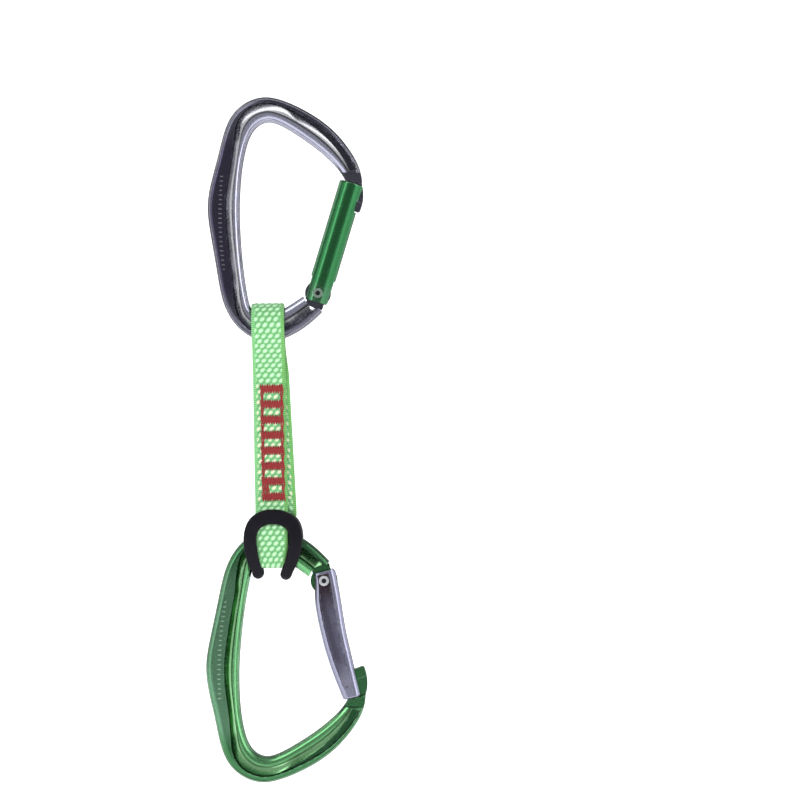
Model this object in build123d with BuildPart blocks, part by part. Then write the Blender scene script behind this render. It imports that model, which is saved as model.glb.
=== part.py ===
from math import cos, hypot, radians, sin
import os

from build123d import *

os.makedirs("parts", exist_ok=True)

# Climbing quickdraw, hanging. Millimetres, +Z up, front face towards -Y.
# The origin is the seat of the upper carabiner, where it rests on its hanger.

# Forging shared by both carabiners, in its own plane: x towards the gate, y out past the wide end.
BODY_DEPTH = 10.6
EDGE_ROUND = 2.6
CHANNEL_DEPTH = 2.5
POCKET_DEPTH = 3.4
NECK_HALF = 3.7
NECK_START = -20.9
TONGUE_DEPTH = 4.4
PIVOT = (19.7, -70.2)
TONGUE_RADIUS = 5.3
SHOULDER_RADIUS = 6.1
HEEL = 3.4

# The bar's outer and inner edge, section by section, from the nose over the wide end,
# down the spine and round the narrow end to the gate's pivot.
OUTER = [
    (37.8, -25.9), (36.9, -19.6), (32.9, -11.9), (25.4, -3.1), (15.6, 3.9), (6.0, 8.4),
    (-1.6, 10.0), (-9.2, 8.0), (-15.4, 2.6), (-18.9, -5.2), (-21.4, -15.0), (-24.3, -26.2),
    (-25.4, -35.0), (-24.6, -43.8), (-22.8, -54.2), (-21.0, -65.0), (-18.3, -75.8),
    (-13.6, -83.5), (-7.0, -88.4), (0.2, -89.9), (7.6, -88.0), (15.3, -83.4), (21.5, -77.8),
]
INNER = [
    (30.7, -23.7), (29.2, -21.1), (25.0, -16.2), (18.2, -10.3), (10.6, -5.0), (3.7, -1.1),
    (-0.6, -0.05), (-4.6, -1.5), (-7.8, -5.4), (-9.7, -10.6), (-11.2, -18.0), (-12.1, -27.2),
    (-12.4, -35.2), (-12.2, -43.8), (-11.5, -54.4), (-10.4, -64.0), (-9.0, -72.3),
    (-7.3, -77.0), (-4.3, -79.2), (-0.4, -79.4), (3.9, -77.6), (9.6, -74.2), (14.9, -70.7),
]

# Troughs in both faces. Each edge is a fraction of the way across the bar, where the trough
# starts and where it ends. The channel narrows to a groove beside the spine's flat panel.
NOSE_TO_SPINE = (1, 15)
NARROW_END = (15, 22)
POCKET = (1, 5)
SPINE_RAMP = (7.6, 9.6)
POCKET_RAMP = (1.0, 5.0)
NARROW_RAMP = (15.0, 17.2)
EDGES = ((0, 0), (1, 1))
CHANNEL_MOUTH = ((0.24, 0.55), (0.67, 0.81))
CHANNEL_FLOOR = ((0.28, 0.69), (0.57, 0.75))
BEND_MOUTH = ((0.55, 0.24), (0.81, 0.67))
BEND_FLOOR = ((0.69, 0.28), (0.75, 0.57))
POCKET_MOUTH = ((0.14, 0.26), (0.60, 0.30))
POCKET_FLOOR = ((0.20, 0.27), (0.50, 0.29))

# Gates. In the gate's own plane x points to its outer side and y to its tip.
GATE_LEAN = 16.8
GATE_RADIUS = 5.15
GATE_OFFSET = 0.3
GATE_REACH = 47.4
EAR_RADIUS = 5.7
EAR_END = 3.6
EAR_HALF = 4.85
SPOT_FACE = 2.7
FORK_SLOT = 4.7
FORK_TOP = 6.3
BENT_ROUND = 2.3
BENT_LEFT = [(-3.3, -7), (-3.5, -1), (-5.3, 6), (-6.3, 15), (-6.5, 26), (-5.9, 36), (-4.3, 48.6)]
BENT_RIGHT = [(5.2, -7), (5.1, 0), (4.3, 10.5), (3.3, 21), (3.0, 30), (2.8, 38), (2.5, 48.6)]
FLUTE_LEFT = [(-2.2, -2.7), (-2.5, 1), (-3.8, 7), (-4.6, 16), (-4.7, 26), (-4.1, 35), (-3.2, 42.8)]
FLUTE_RIGHT = [(2.5, -2.7), (2.3, 2), (1.6, 9), (0.9, 18), (0.5, 27), (0.5, 35), (0.9, 42.8)]
FLUTE_DEPTH = 1.1

# Keylock nose: a thin plate with a thicker head, in a matching slot in the gate's tip.
NOSE_PLATE = 3.0
NOSE_HEAD = 5.2
NOSE_REACH = (36.9, 41.0)
NOSE_GAP = 0.3
NOSE_EDGE = [(3.6, 48.8), (5.1, 46.6), (6.2, 43.8), (6.8, 40.3), (6.5, 36.0)]
NOSE_BACK = -0.8

# Rivet, spring and plunger.
RIVET_RADIUS = 1.5
RIVET_HEAD_RADIUS = 2.0
STRAIGHT_HEAD = (4.35, 5.0)
BENT_HEAD = (3.8, 4.4)
RIVET_DIMPLE = 0.95
RUNNING_GAP = 0.05
SPRING_BORE = 2.1
SPRING_OFFSET = -1.6
SPRING_SPAN = (12.9, 30.4)
SPRING_RADIUS = 1.5
SPRING_WIRE = 0.34
SPRING_PITCH = 2.2
PLUNGER_SPAN = (3.5, 11.5, 12.6)
PLUNGER_RADIUS = 1.0
PLUNGER_COLLAR = 1.9

# Lower carabiner: a larger size of the same forging, upside down.
LOWER_SEAT = (-0.95, -260.05)
LOWER_TILT = 2.1
LOWER_SCALE = 1.04

# Sewn sling: one webbing band. Heights are measured down from the top of the loop.
SLING_TOP = (-0.8, -74.05)
SLING_LEAN = 1.03
WEBBING_WIDTH = 13.4
WEBBING = 1.5
SEWN_HALF = 1.65
BACK_SHIFT = 2.7
LOOP_CAVITY = 7.7
FLEX_TOP = -28.2
FLEX_GAP = 0.7
TWIST_HEIGHT = -57.3
TWIST_GAP = 0.5
FLEX_BOTTOM = -82.95
LOOP_SHOULDER = -92.4
LOOP_FOOT = -108.5
LOOP_HALF = 7.4
FREE_GAP = 0.3

# Bar tacks: a flat stitched bar on each face, joined through the webbing.
TACK_COUNT = 8
TACK_FIRST = -35.3
TACK_PITCH = 6.3
TACK_SIZE = (9.5, 3.2)
TACK_SHIFT = 0.9
TACK_RAISE = 0.55
TACK_LEG = (0.8, 2.2)
TACK_LEG_SPREAD = 3.7
TACK_GAP = 0.1

# Rubber keeper, in a plane centred on the sling: half outlines, then its side outline.
KEEPER_CENTRE = (1.45, -172.0)
KEEPER_OUT = [(0, 13.4), (5.2, 12.6), (9.6, 9.6), (11.8, 4.4), (12.0, -0.6), (10.9, -6.2), (8.1, -12.8)]
KEEPER_KNOB = (5.7, -15.4)
KEEPER_IN = [(3.3, -13.0), (5.4, -6.0), (6.5, -0.6), (6.1, 4.1), (3.6, 6.7), (0, 7.4)]
KEEPER_SIDE = [
    (0, 13.6), (4.6, 13.2), (7.6, 9.8), (9.1, 5.0), (9.3, -1.5), (8.3, -8.5), (5.8, -13.8), (0, -15.9),
]


def scaled(points, size):
    return [(x * size, y * size) for x, y in points]


def lane(share, size=1.0, span=(0, 22), ramp=SPINE_RAMP, grow=0.0):
    """Points along the bar at a share of the way across it, which changes over a ramp."""
    points = []
    for number in range(span[0], span[1] + 1):
        (xo, yo), (xi, yi) = OUTER[number], INNER[number]
        along = min(max((number - ramp[0]) / (ramp[1] - ramp[0]), 0), 1)
        across = share[0] + (share[1] - share[0]) * along + grow / hypot(xo - xi, yo - yi)
        points.append(((xo + (xi - xo) * across) * size, (yo + (yi - yo) * across) * size))
    return points


def strip(plane, edge_a, edge_b):
    """A face on a plane, between two rows of points that run the same way."""
    with BuildSketch(plane) as band:
        with BuildLine():
            a = Spline(*edge_a)
            b = Spline(*edge_b)
            Line(a @ 0, b @ 0)
            Line(a @ 1, b @ 1)
        make_face()
    return band.sketch


def gate_plane(plane, size):
    """The gate's own plane, at its pivot."""
    lean = radians(GATE_LEAN)
    return Plane(
        origin=plane.from_local_coords((PIVOT[0] * size, PIVOT[1] * size, 0)),
        x_dir=plane.x_dir * cos(lean) - plane.y_dir * sin(lean),
        z_dir=plane.z_dir,
    )


def along_gate(plane, size, height):
    """A plane square to the gate's length, on the spring's axis."""
    gate = gate_plane(plane, size)
    return Plane(
        origin=gate.from_local_coords((SPRING_OFFSET * size, height * size, 0)),
        x_dir=gate.z_dir,
        z_dir=gate.y_dir,
    )


def trough(plane, size, span, ramp, mouth, floor, depth):
    """A sloping-sided trough along part of the bar, in the front face and in the back."""
    cuts = []
    for side in (1, -1):
        top = plane.offset(side * (BODY_DEPTH / 2 + 0.01) * size)
        bottom = plane.offset(side * (BODY_DEPTH / 2 - depth) * size)
        with BuildPart() as cut:
            loft(
                [
                    strip(top, *[lane(share, size, span, ramp) for share in mouth]),
                    strip(bottom, *[lane(share, size, span, ramp) for share in floor]),
                ]
            )
        cuts.append(cut.part)
    return cuts


def carabiner_body(plane, size):
    """The forged body, with its keylock nose and the tongue that the gate turns on."""
    half = BODY_DEPTH / 2 * size
    gate = gate_plane(plane, size)
    with BuildPart() as body:
        extrude(strip(plane, lane(EDGES[0], size), lane(EDGES[1], size)), amount=half, both=True)
        fillet(body.edges().filter_by(GeomType.BSPLINE), EDGE_ROUND * size)
        for span, ramp, mouth, floor, depth in (
            (NOSE_TO_SPINE, SPINE_RAMP, CHANNEL_MOUTH, CHANNEL_FLOOR, CHANNEL_DEPTH),
            (NARROW_END, NARROW_RAMP, BEND_MOUTH, BEND_FLOOR, CHANNEL_DEPTH),
            (POCKET, POCKET_RAMP, POCKET_MOUTH, POCKET_FLOOR, POCKET_DEPTH),
        ):
            add(trough(plane, size, span, ramp, mouth, floor, depth), mode=Mode.SUBTRACT)
        for side in (1, -1):
            with BuildSketch(plane.offset(side * NECK_HALF * size)):
                with Locations((26 * size, NECK_START * size)):
                    Rectangle(20 * size, 6 * size, align=(Align.MIN, Align.MAX))
            extrude(amount=side * 4 * size, mode=Mode.SUBTRACT)
        with BuildSketch(gate):
            Circle(SHOULDER_RADIUS * size)
        extrude(amount=half + 1, both=True, mode=Mode.SUBTRACT)
        with BuildSketch(gate):
            Circle(TONGUE_RADIUS * size)
            with Locations((0, -SHOULDER_RADIUS / 2 * size)):
                Rectangle(7.2 * size, SHOULDER_RADIUS * size)
            with Locations((0, HEEL * size)):
                Rectangle(20 * size, 9 * size, align=(Align.CENTER, Align.MIN), mode=Mode.SUBTRACT)
        extrude(amount=TONGUE_DEPTH / 2 * size, both=True)
        with BuildSketch(gate):
            Circle((RIVET_RADIUS + 0.02) * size)
        extrude(amount=half, both=True, mode=Mode.SUBTRACT)
        for head in (False, True):
            with BuildSketch(gate) as nose:
                with BuildLine():
                    edge = Spline(*scaled(NOSE_EDGE, size))
                    Polyline(
                        edge @ 1,
                        (NOSE_BACK * size, NOSE_EDGE[-1][1] * size),
                        (NOSE_BACK * size, NOSE_EDGE[0][1] * size),
                        edge @ 0,
                    )
                make_face()
                Circle(NOSE_REACH[0] * size, mode=Mode.SUBTRACT)
                if head:
                    Circle(NOSE_REACH[1] * size, mode=Mode.INTERSECT)
                fillet(nose.vertices().sort_by_distance((0, 0))[:2], 0.9 * size)
            extrude(amount=(NOSE_HEAD if head else NOSE_PLATE) / 2 * size, both=True)
    return body


def gate_tip_slot(plane, size, near, far, width):
    """The part of the gate's tip slot between two radii from the pivot."""
    with BuildSketch(gate_plane(plane, size)) as slot:
        with Locations((NOSE_BACK * size - 0.5, 45 * size)):
            Rectangle(20 * size, 40 * size, align=(Align.MIN, Align.CENTER))
        Circle(far * size, mode=Mode.INTERSECT)
        Circle(near * size, mode=Mode.SUBTRACT)
    return extrude(slot.sketch, amount=width / 2 * size, both=True, mode=Mode.PRIVATE)


def gate_blank(plane, size, bent):
    """The outside of a gate: a straight tube, or a fluted bent bar."""
    gate = gate_plane(plane, size)
    with BuildPart() as blank:
        if bent:
            left = scaled(BENT_LEFT, size)
            right = scaled(BENT_RIGHT, size)
            extrude(strip(gate, left, right), amount=EAR_HALF * size, both=True)
            fillet(blank.edges().filter_by(GeomType.BSPLINE), BENT_ROUND * size)
        else:
            foot = gate.from_local_coords((GATE_OFFSET * size, -7 * size, 0))
            with BuildSketch(Plane(foot, gate.z_dir, gate.y_dir)):
                Circle(GATE_RADIUS * size)
            extrude(amount=(GATE_REACH + 8) * size)
        with BuildSketch(gate):
            Circle(EAR_RADIUS * size)
            with Locations((0, -EAR_END * size)):
                Rectangle(20 * size, 20 * size, align=(Align.CENTER, Align.MIN), mode=Mode.INTERSECT)
            Rectangle(20 * size, 60 * size, align=(Align.CENTER, Align.MIN))
            Circle(GATE_REACH * size, mode=Mode.INTERSECT)
        extrude(amount=9 * size, both=True, mode=Mode.INTERSECT)
        tip = blank.faces().sort_by_distance(gate.from_local_coords((0, GATE_REACH * size, 0)))[0]
        fillet(tip.edges(), 0.7 * size)
        if bent:
            for side in (1, -1):
                mouth = strip(
                    gate.offset(side * (EAR_HALF + 0.01) * size),
                    scaled(FLUTE_LEFT, size),
                    scaled(FLUTE_RIGHT, size),
                )
                floor = strip(
                    gate.offset(side * (EAR_HALF - FLUTE_DEPTH) * size),
                    scaled([(x + 0.4, y) for x, y in FLUTE_LEFT], size),
                    scaled([(x - 0.4, y) for x, y in FLUTE_RIGHT], size),
                )
                loft([mouth, floor], mode=Mode.SUBTRACT)
    return blank


def gate(plane, size, bent, head):
    """A gate: forked over the tongue, bored for its spring and slotted for the nose."""
    own = gate_plane(plane, size)
    with BuildPart() as made:
        add(gate_blank(plane, size, bent))
        for side in (1, -1):
            with BuildSketch(own.offset(side * EAR_HALF * size)):
                Circle(SPOT_FACE * size)
            extrude(amount=side * 2 * size, mode=Mode.SUBTRACT)
            with BuildSketch(own.offset(side * (head[0] - RUNNING_GAP) * size)):
                Circle((RIVET_HEAD_RADIUS + 0.08) * size)
            extrude(amount=side * 2 * size, mode=Mode.SUBTRACT)
        with BuildSketch(own):
            with Locations((0, FORK_TOP * size)):
                Rectangle(20 * size, 16 * size, align=(Align.CENTER, Align.MAX))
        extrude(amount=FORK_SLOT / 2 * size, both=True, mode=Mode.SUBTRACT)
        with BuildSketch(own):
            Circle((RIVET_RADIUS + RUNNING_GAP) * size)
        extrude(amount=9 * size, both=True, mode=Mode.SUBTRACT)
        with BuildSketch(along_gate(plane, size, FORK_TOP - 0.5)):
            Circle(SPRING_BORE * size)
        extrude(amount=(SPRING_SPAN[1] + 0.6 - FORK_TOP) * size, mode=Mode.SUBTRACT)
        neck = gate_tip_slot(plane, size, NOSE_REACH[0] - 0.6, 60, NOSE_PLATE + 2 * NOSE_GAP)
        add(neck, mode=Mode.SUBTRACT)
        pocket = gate_tip_slot(
            plane, size, NOSE_REACH[0] - 0.6, NOSE_REACH[1] + 0.4, NOSE_HEAD + 2 * NOSE_GAP
        )
        add(pocket, mode=Mode.SUBTRACT)
    return made


def rivet(plane, size, head):
    """A hollow-ended rivet through the tongue and both ears."""
    own = gate_plane(plane, size)
    low, high = head
    with BuildPart() as pin:
        with BuildSketch(own):
            Circle(RIVET_RADIUS * size)
        extrude(amount=low * size, both=True)
        for side in (1, -1):
            with BuildSketch(own.offset(side * low * size)):
                Circle(RIVET_HEAD_RADIUS * size)
            extrude(amount=side * (high - low) * size)
        for side in (1, -1):
            with BuildSketch(own.offset(side * low * size)):
                Circle(RIVET_DIMPLE * size)
            extrude(amount=side * size, mode=Mode.SUBTRACT)
    return pin


def spring(plane, size):
    """The closing spring inside a gate."""
    start = along_gate(plane, size, SPRING_SPAN[0] + SPRING_WIRE + 0.06)
    height = SPRING_SPAN[1] - SPRING_SPAN[0] - 2 * SPRING_WIRE - 0.1
    with BuildPart() as coil:
        with BuildLine() as path:
            Helix(
                SPRING_PITCH * size,
                height * size,
                SPRING_RADIUS * size,
                center=start.origin,
                direction=start.z_dir,
            )
        with BuildSketch(Plane(origin=path.line @ 0, z_dir=path.line % 0)):
            Circle(SPRING_WIRE * size)
        sweep()
    return coil


def plunger(plane, size):
    """The pin that the spring presses on the body's heel."""
    low, collar, high = PLUNGER_SPAN
    with BuildPart() as pin:
        with BuildSketch(along_gate(plane, size, low)):
            Circle(PLUNGER_RADIUS * size)
        extrude(amount=(high - low) * size)
        with BuildSketch(along_gate(plane, size, collar)):
            Circle(PLUNGER_COLLAR * size)
        extrude(amount=(high - collar) * size)
    return pin


upper_plane = Plane(origin=(0, 0, 0), x_dir=(1, 0, 0), z_dir=(0, -1, 0))
tilt = radians(LOWER_TILT)
lower_plane = Plane(
    origin=(LOWER_SEAT[0], 0, LOWER_SEAT[1]), x_dir=(cos(tilt), 0, -sin(tilt)), z_dir=(0, 1, 0)
)

# The sling's planes: one facing the front, one facing its edge, both with y up the sling.
lean = radians(SLING_LEAN)
sling_front = Plane(
    origin=(SLING_TOP[0], 0, SLING_TOP[1]), x_dir=(cos(lean), 0, sin(lean)), z_dir=(0, -1, 0)
)
sling_edge = Plane(origin=sling_front.origin, x_dir=(0, 1, 0), z_dir=sling_front.x_dir)


def sewn_strap(top, bottom, round_top):
    """Two strands of webbing sewn face to face, the back one shifted to one side."""
    half = WEBBING_WIDTH / 2
    end = top - SEWN_HALF if round_top else bottom + SEWN_HALF
    low, high = (bottom, end) if round_top else (end, top)
    with BuildPart() as strap:
        with BuildSketch(sling_edge):
            with Locations((0, low)):
                Rectangle(2 * SEWN_HALF, high - low, align=(Align.CENTER, Align.MIN))
            with Locations((0, end)):
                Circle(SEWN_HALF)
        extrude(amount=half + BACK_SHIFT)
        with BuildSketch(sling_edge):
            with Locations((0, low)):
                Rectangle(2 * SEWN_HALF, high - low, align=(Align.CENTER, Align.MIN))
            with Locations((0, end)):
                Circle(SEWN_HALF)
        extrude(amount=-half)
        with BuildSketch(sling_edge.offset(half)):
            with Locations((0, low - 5)):
                Rectangle(5, high - low + 10, align=(Align.MAX, Align.MIN))
        extrude(amount=5, mode=Mode.SUBTRACT)
        with BuildSketch(sling_edge.offset(BACK_SHIFT - half)):
            with Locations((0, low - 5)):
                Rectangle(5, high - low + 10, align=(Align.MIN, Align.MIN))
        extrude(amount=-5, mode=Mode.SUBTRACT)
        with BuildSketch(sling_front):
            with Locations(*tack_leg_places(low, high)):
                Rectangle(TACK_LEG[0] + 2 * TACK_GAP, TACK_LEG[1] + 2 * TACK_GAP)
        extrude(amount=5, both=True, mode=Mode.SUBTRACT)
    return strap


def tack_heights(low, high):
    """Heights of the bar tacks that lie between two heights."""
    heights = [TACK_FIRST - i * TACK_PITCH for i in range(TACK_COUNT)]
    return [h for h in heights if low - 2 < h < high + 2]


def tack_leg_places(low, high):
    """Where the tacks' threads pass through the webbing."""
    sides = (TACK_SHIFT - TACK_LEG_SPREAD, TACK_SHIFT + TACK_LEG_SPREAD)
    return [(x, h) for h in tack_heights(low, high) for x in sides]


def bar_tack(height):
    """One bar tack: a stitched bar on each face and the threads that join them."""
    with BuildPart() as tack:
        for side in (1, -1):
            with BuildSketch(sling_front.offset(side * (SEWN_HALF + 0.03))):
                with Locations((TACK_SHIFT, height)):
                    RectangleRounded(*TACK_SIZE, 0.8)
            extrude(amount=side * TACK_RAISE)
        with BuildSketch(sling_front):
            with Locations(*tack_leg_places(height, height)):
                Rectangle(*TACK_LEG)
        extrude(amount=SEWN_HALF + 0.1, both=True)
    return tack


with BuildPart() as sling_top_loop:
    crown = -LOOP_CAVITY - WEBBING
    end = FLEX_TOP + FLEX_GAP / 2 + SEWN_HALF
    with BuildSketch(sling_edge):
        with Locations((0, crown)):
            Circle(LOOP_CAVITY + WEBBING)
        with Locations((0, end)):
            Circle(SEWN_HALF)
        make_hull()
    extrude(amount=WEBBING_WIDTH / 2, both=True)
    with BuildSketch(sling_edge):
        with Locations((0, crown)):
            Circle(LOOP_CAVITY)
        with Locations((0, end + 1.5)):
            Circle(SEWN_HALF - WEBBING)
        make_hull()
    extrude(amount=WEBBING_WIDTH, both=True, mode=Mode.SUBTRACT)

sling_upper_strap = sewn_strap(FLEX_TOP - FLEX_GAP / 2, TWIST_HEIGHT + TWIST_GAP / 2, True)
sling_lower_strap = sewn_strap(TWIST_HEIGHT - TWIST_GAP / 2, FLEX_BOTTOM + FLEX_GAP / 2, False)


def bottom_loop_section(grow):
    """The outside of the bottom loop, seen on edge, made larger by a gap."""
    half = LOOP_HALF + grow
    neck = SEWN_HALF + grow
    with BuildSketch(sling_edge) as section:
        with BuildLine():
            FilletPolyline(
                (neck, FLEX_BOTTOM - FLEX_GAP / 2 - SEWN_HALF),
                (half, LOOP_SHOULDER),
                (half, LOOP_FOOT - grow),
                (-half, LOOP_FOOT - grow),
                (-half, LOOP_SHOULDER),
                (-neck, FLEX_BOTTOM - FLEX_GAP / 2 - SEWN_HALF),
                radius=(0, 4.0, 3.6, 3.6, 4.0, 0),
                close=True,
            )
        make_face()
        with Locations((0, FLEX_BOTTOM - FLEX_GAP / 2 - SEWN_HALF)):
            Circle(neck)
    return section.sketch


with BuildPart() as sling_bottom_loop:
    extrude(bottom_loop_section(0), amount=WEBBING_WIDTH / 2, both=True)
    half = LOOP_HALF - WEBBING
    with BuildSketch(sling_edge):
        with BuildLine():
            FilletPolyline(
                (0.1, FLEX_BOTTOM - 4.4),
                (half, LOOP_SHOULDER - 0.6),
                (half, LOOP_FOOT + WEBBING),
                (-half, LOOP_FOOT + WEBBING),
                (-half, LOOP_SHOULDER - 0.6),
                (-0.1, FLEX_BOTTOM - 4.4),
                radius=(0, 2.6, 2.4, 2.4, 2.6, 0),
                close=True,
            )
        make_face()
    extrude(amount=WEBBING_WIDTH, both=True, mode=Mode.SUBTRACT)

keeper_front = Plane(
    origin=(KEEPER_CENTRE[0], 0, KEEPER_CENTRE[1]), x_dir=lower_plane.x_dir, z_dir=(0, -1, 0)
)
keeper_edge = Plane(origin=keeper_front.origin, x_dir=(0, 1, 0), z_dir=keeper_front.x_dir)

with BuildPart() as keeper:
    with BuildSketch(keeper_front):
        with BuildLine():
            Spline(*KEEPER_OUT)
            ThreePointArc(KEEPER_OUT[-1], KEEPER_KNOB, KEEPER_IN[0])
            Spline(*KEEPER_IN)
            Line(KEEPER_IN[-1], KEEPER_OUT[0])
        make_face()
        mirror(about=Plane.YZ)
    extrude(amount=12, both=True)
    with BuildSketch(keeper_edge):
        with BuildLine():
            Spline(*KEEPER_SIDE)
            Line(KEEPER_SIDE[-1], KEEPER_SIDE[0])
        make_face()
        mirror(about=Plane.YZ)
    extrude(amount=16, both=True, mode=Mode.INTERSECT)
    extrude(
        bottom_loop_section(FREE_GAP),
        amount=WEBBING_WIDTH / 2 + FREE_GAP,
        both=True,
        mode=Mode.SUBTRACT,
    )
    tunnel = strip(
        lower_plane,
        lane(EDGES[0], LOWER_SCALE, grow=-FREE_GAP),
        lane(EDGES[1], LOWER_SCALE, grow=FREE_GAP),
    )
    extrude(
        tunnel,
        amount=BODY_DEPTH / 2 * LOWER_SCALE + FREE_GAP,
        both=True,
        mode=Mode.SUBTRACT,
    )

pieces = {}
for end, plane, size, head in (
    ("upper", upper_plane, 1.0, STRAIGHT_HEAD),
    ("lower", lower_plane, LOWER_SCALE, BENT_HEAD),
):
    pieces[end + "_body"] = carabiner_body(plane, size)
    pieces[end + "_gate"] = gate(plane, size, end == "lower", head)
    pieces[end + "_gate_rivet"] = rivet(plane, size, head)
    pieces[end + "_gate_spring"] = spring(plane, size)
    pieces[end + "_gate_plunger"] = plunger(plane, size)
pieces["sling_top_loop"] = sling_top_loop
pieces["sling_upper_strap"] = sling_upper_strap
pieces["sling_lower_strap"] = sling_lower_strap
pieces["sling_bottom_loop"] = sling_bottom_loop
pieces["keeper"] = keeper
for number in range(TACK_COUNT):
    pieces[f"bar_tack_{number + 1}"] = bar_tack(TACK_FIRST - number * TACK_PITCH)

for name, piece in pieces.items():
    piece.part.label = name
    export_step(piece.part, f"parts/{name}.step")
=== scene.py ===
import math
import random

import bmesh
import bpy
import numpy as np
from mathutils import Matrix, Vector


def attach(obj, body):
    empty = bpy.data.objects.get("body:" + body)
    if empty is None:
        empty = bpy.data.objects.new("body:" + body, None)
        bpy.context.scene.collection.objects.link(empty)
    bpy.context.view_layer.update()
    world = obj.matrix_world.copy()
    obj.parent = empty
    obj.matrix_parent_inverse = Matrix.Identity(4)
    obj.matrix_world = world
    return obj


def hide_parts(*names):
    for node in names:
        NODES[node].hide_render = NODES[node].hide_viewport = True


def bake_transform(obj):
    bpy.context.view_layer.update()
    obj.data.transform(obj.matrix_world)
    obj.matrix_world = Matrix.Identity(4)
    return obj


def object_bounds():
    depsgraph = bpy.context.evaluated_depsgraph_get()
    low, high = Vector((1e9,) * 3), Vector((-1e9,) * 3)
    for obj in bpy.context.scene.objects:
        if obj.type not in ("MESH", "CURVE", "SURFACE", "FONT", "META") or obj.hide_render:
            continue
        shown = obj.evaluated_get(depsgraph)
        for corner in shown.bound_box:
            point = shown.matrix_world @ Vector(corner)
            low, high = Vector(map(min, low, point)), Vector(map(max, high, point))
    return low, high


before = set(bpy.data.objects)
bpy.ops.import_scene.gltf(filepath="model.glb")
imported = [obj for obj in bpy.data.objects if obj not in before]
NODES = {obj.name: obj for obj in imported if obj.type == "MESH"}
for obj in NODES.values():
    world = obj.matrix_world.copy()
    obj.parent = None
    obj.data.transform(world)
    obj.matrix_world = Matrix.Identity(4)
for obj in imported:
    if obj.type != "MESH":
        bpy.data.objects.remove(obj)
cad_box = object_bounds()
MM = 0.001

# Where things are, in millimetres, as in the CAD frame.
SLING_TOP = (-0.8, -74.05)
SLING_LEAN = math.radians(1.03)
LOWER_SEAT = (-0.95, -260.05)
LOWER_TILT = math.radians(2.1)
LOWER_SCALE = 1.04
PIVOT = (19.7, -70.2)
GATE_LEAN = math.radians(16.8)

# Webbing band, in millimetres.
HALF_WIDTH = 6.7
HALF_THICK = 0.72
FOOT_NARROW = 0.2
STRAND_OUT = 0.8
CROWN_RADIUS = 8.45
CROWN_HEIGHT = -9.2
NECK_HEIGHT = -26.6
TACK_FIRST = -35.3
TACK_PITCH = 6.3
TACK_COUNT = 8
TACK_LAST = TACK_FIRST - TACK_PITCH * (TACK_COUNT - 1)

# Weave: pale flecks in slanted rows, and how far they stand out on a strand's two faces.
FLECK_PITCH = 2.75
FLECK_ROW = 2.2
FLECK_STEP = 1.05
FLECK_SLANT = 0.36
FLECK_COLOUR_HALF = (0.78, 0.8)
FLECK_RELIEF_HALF = (0.8, 0.85)
RELIEF = 0.2
INNER_RELIEF = 0.25
STEP = 0.35


def srgb(r, g, b):
    """A colour given as 0 to 255 screen values, as the shader wants it."""
    def linear(c):
        c /= 255
        return c / 12.92 if c <= 0.04045 else ((c + 0.055) / 1.055) ** 2.4
    return (linear(r), linear(g), linear(b), 1)


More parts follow.
